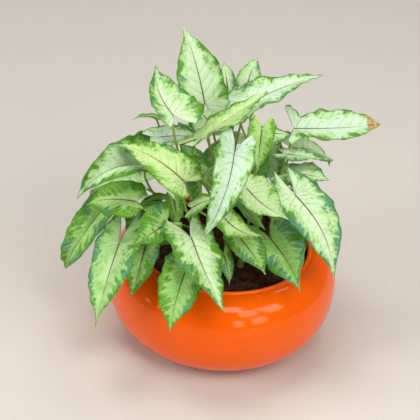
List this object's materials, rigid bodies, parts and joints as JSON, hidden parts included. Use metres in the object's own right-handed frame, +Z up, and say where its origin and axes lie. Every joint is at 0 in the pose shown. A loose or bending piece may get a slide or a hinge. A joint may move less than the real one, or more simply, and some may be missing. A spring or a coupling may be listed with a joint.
{
  "type": "potted arrowhead plant",
  "caption": "Bushy arrowhead plant with pale arrow-shaped leaves on thin stalks, rooted in a round glossy orange bowl pot filled with dark peat.",
  "frame": {"origin": "centre of the pot's flat base, on the pot's axis", "axes": "+Z up along the pot's axis; -Y towards the viewer of the picture; +X to the viewer's right"},
  "size_m": [0.2102, 0.1986, 0.2103],
  "materials": {
    "pot": "glossy orange moulded plastic",
    "soil": "loose crumbly moist coco-peat, a matt plant fibre",
    "stalk": "smooth fleshy green stalk",
    "leaf": "thin smooth satin leaf, pale green with a darker edge"
  },
  "bodies": {
    "root": {"leaf_arching_left": "leaf", "leaf_centre_behind": "leaf", "leaf_centre_edge": "leaf", "leaf_centre_left": "leaf", "leaf_centre_pale": "leaf", "leaf_centre_right": "leaf", "leaf_centre_shaded": "leaf", "leaf_far_left": "leaf", "leaf_far_right": "leaf", "leaf_front_centre": "leaf", "leaf_front_left_low": "leaf", "leaf_front_low": "leaf", "leaf_front_right": "leaf", "leaf_front_small": "leaf", "leaf_inner_dark": "leaf", "leaf_inner_left": "leaf", "leaf_left_low": "leaf", "leaf_left_middle": "leaf", "leaf_left_shaded": "leaf", "leaf_left_strip": "leaf", "leaf_middle_left": "leaf", "leaf_rear_far_left": "leaf", "leaf_rear_far_right": "leaf", "leaf_rear_high": "leaf", "leaf_rear_high_right": "leaf", "leaf_rear_left": "leaf", "leaf_rear_left_thin": "leaf", "leaf_rear_low": "leaf", "leaf_inside_high": "leaf", "leaf_rear_low_left": "leaf", "leaf_rear_low_right": "leaf", "leaf_rear_mid_left": "leaf", "leaf_rear_mid_right": "leaf", "leaf_rear_right": "leaf", "leaf_rear_top": "leaf", "leaf_rear_top_right": "leaf", "leaf_right_folded": "leaf", "leaf_right_front": "leaf", "leaf_right_inner": "leaf", "leaf_right_low": "leaf", "leaf_right_middle": "leaf", "leaf_right_upper": "leaf", "leaf_top_centre": "leaf", "leaf_top_left": "leaf", "leaf_top_right_long": "leaf", "leaf_top_yellow": "leaf", "leaf_upper_white": "leaf", "leaf_inside_right": "leaf", "leaf_inside_left": "leaf", "leaf_yellow_left": "leaf", "plantlet_front": "stalk", "plantlet_front_right": "stalk", "plantlet_left": "stalk", "plantlet_middle": "stalk", "plantlet_rear": "stalk", "plantlet_rear_left": "stalk", "plantlet_rear_right": "stalk", "plantlet_right": "stalk", "pot": "pot", "soil": "soil"}
  },
  "joints": []
}
